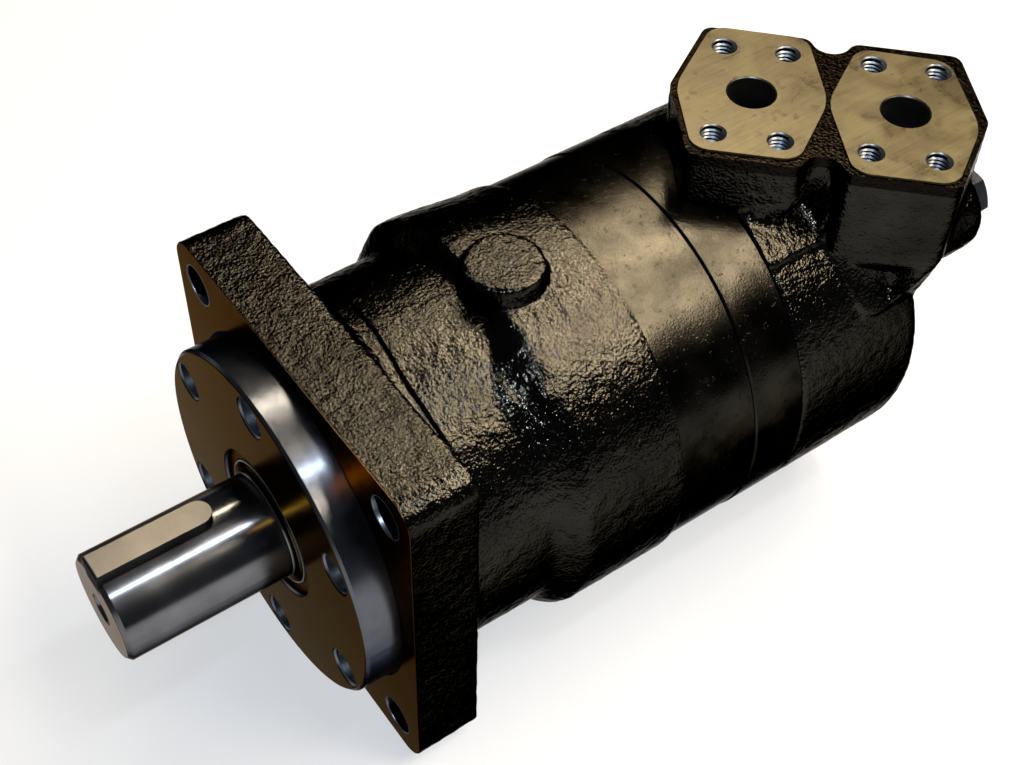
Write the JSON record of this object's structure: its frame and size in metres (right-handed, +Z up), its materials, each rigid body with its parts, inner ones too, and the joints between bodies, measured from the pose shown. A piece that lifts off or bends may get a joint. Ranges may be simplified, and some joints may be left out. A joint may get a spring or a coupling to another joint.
{
  "type": "orbital hydraulic motor",
  "caption": "Compact low-speed hydraulic motor with a square mounting flange, keyed shaft, roller gear set, disc valve and flange ports on a cast block.",
  "frame": {"origin": "centre of the mounting flange's front face, on the shaft axis", "axes": "+X along the shaft towards its free end, +Z up out of the port faces, +Y to the side of the outer port"},
  "size_m": [0.333, 0.1454, 0.1647],
  "materials": {
    "cast_black_paint": "glossy, over a rough casting",
    "dark_machined_steel": "satin",
    "bright_steel": "satin",
    "seal_rubber": "matte",
    "shaft_steel": "polished",
    "bronze": "satin",
    "smooth_black_paint": "glossy"
  },
  "bodies": {
    "housing": {"bearing_housing": "cast_black_paint", "retainer_plate": "dark_machined_steel", "retainer_screws": "bright_steel", "retainer_o_ring": "seal_rubber", "bearing_shim": "bright_steel", "dust_seal": "seal_rubber", "shaft_seal": "seal_rubber", "seal_backup_ring": "bright_steel", "seal_snap_ring": "bright_steel", "front_cup": "bright_steel", "rear_cup": "bright_steel", "wear_plate": "bright_steel", "gear_ring": "smooth_black_paint", "valve_plate": "smooth_black_paint", "balance_ring": "bronze", "balance_outer_seal": "seal_rubber", "balance_inner_seal": "seal_rubber", "balance_spring": "bright_steel", "balance_pins": "bright_steel", "valve_housing": "cast_black_paint", "front_body_seal": "seal_rubber", "middle_body_seal": "seal_rubber", "rear_body_seal": "seal_rubber", "tie_screws": "dark_machined_steel", "drain_plug": "dark_machined_steel", "drain_washer": "bronze"},
    "shaft": {"output_shaft": "shaft_steel", "shaft_key": "bright_steel", "front_cone": "bright_steel", "rear_cone": "bright_steel"},
    "front_roller_set": {"front_tapers": "bright_steel", "front_cage": "bronze"},
    "rear_roller_set": {"rear_tapers": "bright_steel", "rear_cage": "bronze"},
    "orbit": {"link_spacer": "bronze"},
    "star": {"star": "bright_steel"},
    "main_link": {"main_link": "bright_steel"},
    "valve_link": {"valve_link": "bright_steel"},
    "disc_valve": {"disc_valve": "bright_steel"},
    "roller_1": {"roller_1": "bright_steel"},
    "roller_2": {"roller_2": "bright_steel"},
    "roller_3": {"roller_3": "bright_steel"},
    "roller_4": {"roller_4": "bright_steel"},
    "roller_5": {"roller_5": "bright_steel"},
    "roller_6": {"roller_6": "bright_steel"},
    "roller_7": {"roller_7": "bright_steel"}
  },
  "joints": [
    {"name": "shaft_spin", "type": "hinge", "parent": "housing", "child": "shaft", "pos_m": [0, 0, 0], "axis": [1, 0, 0], "continuous": true},
    {"name": "front_cage_spin", "type": "hinge", "parent": "housing", "child": "front_roller_set", "pos_m": [-0.0258, 0, 0], "axis": [1, 0, 0], "continuous": true},
    {"name": "rear_cage_spin", "type": "hinge", "parent": "housing", "child": "rear_roller_set", "pos_m": [-0.073, 0, 0], "axis": [1, 0, 0], "continuous": true},
    {"name": "orbit_spin", "type": "hinge", "parent": "housing", "child": "orbit", "pos_m": [-0.12545, 0, 0], "axis": [1, 0, 0], "continuous": true},
    {"name": "star_spin", "type": "hinge", "parent": "orbit", "child": "star", "pos_m": [-0.1237, 0.0042, 0], "axis": [1, 0, 0], "continuous": true},
    {"name": "main_link_spin", "type": "hinge", "parent": "orbit", "child": "main_link", "pos_m": [-0.074, 0, 0], "axis": [0.9954, -0.0963, 0], "continuous": true},
    {"name": "valve_link_spin", "type": "hinge", "parent": "orbit", "child": "valve_link", "pos_m": [-0.1335, 0.0042, 0], "axis": [0.9936, 0.1127, 0], "continuous": true},
    {"name": "disc_valve_spin", "type": "hinge", "parent": "housing", "child": "disc_valve", "pos_m": [-0.16953, 0, 0], "axis": [1, 0, 0], "continuous": true},
    {"name": "roller_1_spin", "type": "hinge", "parent": "housing", "child": "roller_1", "pos_m": [-0.1237, 0.042, 0], "axis": [1, 0, 0], "continuous": true},
    {"name": "roller_2_spin", "type": "hinge", "parent": "housing", "child": "roller_2", "pos_m": [-0.1237, 0.02619, 0.03284], "axis": [1, 0, 0], "continuous": true},
    {"name": "roller_3_spin", "type": "hinge", "parent": "housing", "child": "roller_3", "pos_m": [-0.1237, -0.00935, 0.04095], "axis": [1, 0, 0], "continuous": true},
    {"name": "roller_4_spin", "type": "hinge", "parent": "housing", "child": "roller_4", "pos_m": [-0.1237, -0.03784, 0.01822], "axis": [1, 0, 0], "continuous": true},
    {"name": "roller_5_spin", "type": "hinge", "parent": "housing", "child": "roller_5", "pos_m": [-0.1237, -0.03784, -0.01822], "axis": [1, 0, 0], "continuous": true},
    {"name": "roller_6_spin", "type": "hinge", "parent": "housing", "child": "roller_6", "pos_m": [-0.1237, -0.00935, -0.04095], "axis": [1, 0, 0], "continuous": true},
    {"name": "roller_7_spin", "type": "hinge", "parent": "housing", "child": "roller_7", "pos_m": [-0.1237, 0.02619, -0.03284], "axis": [1, 0, 0], "continuous": true}
  ],
  "couplings": [
    {"joint": "front_cage_spin", "follows": "shaft_spin", "ratio": 0.4411},
    {"joint": "rear_cage_spin", "follows": "shaft_spin", "ratio": 0.4411},
    {"joint": "orbit_spin", "follows": "shaft_spin", "ratio": -6},
    {"joint": "star_spin", "follows": "shaft_spin", "ratio": 7},
    {"joint": "main_link_spin", "follows": "shaft_spin", "ratio": 7},
    {"joint": "valve_link_spin", "follows": "shaft_spin", "ratio": 7},
    {"joint": "disc_valve_spin", "follows": "shaft_spin", "ratio": 1},
    {"joint": "roller_1_spin", "follows": "shaft_spin", "ratio": -4.25},
    {"joint": "roller_2_spin", "follows": "shaft_spin", "ratio": -4.25},
    {"joint": "roller_3_spin", "follows": "shaft_spin", "ratio": -4.25},
    {"joint": "roller_4_spin", "follows": "shaft_spin", "ratio": -4.25},
    {"joint": "roller_5_spin", "follows": "shaft_spin", "ratio": -4.25},
    {"joint": "roller_6_spin", "follows": "shaft_spin", "ratio": -4.25},
    {"joint": "roller_7_spin", "follows": "shaft_spin", "ratio": -4.25}
  ]
}
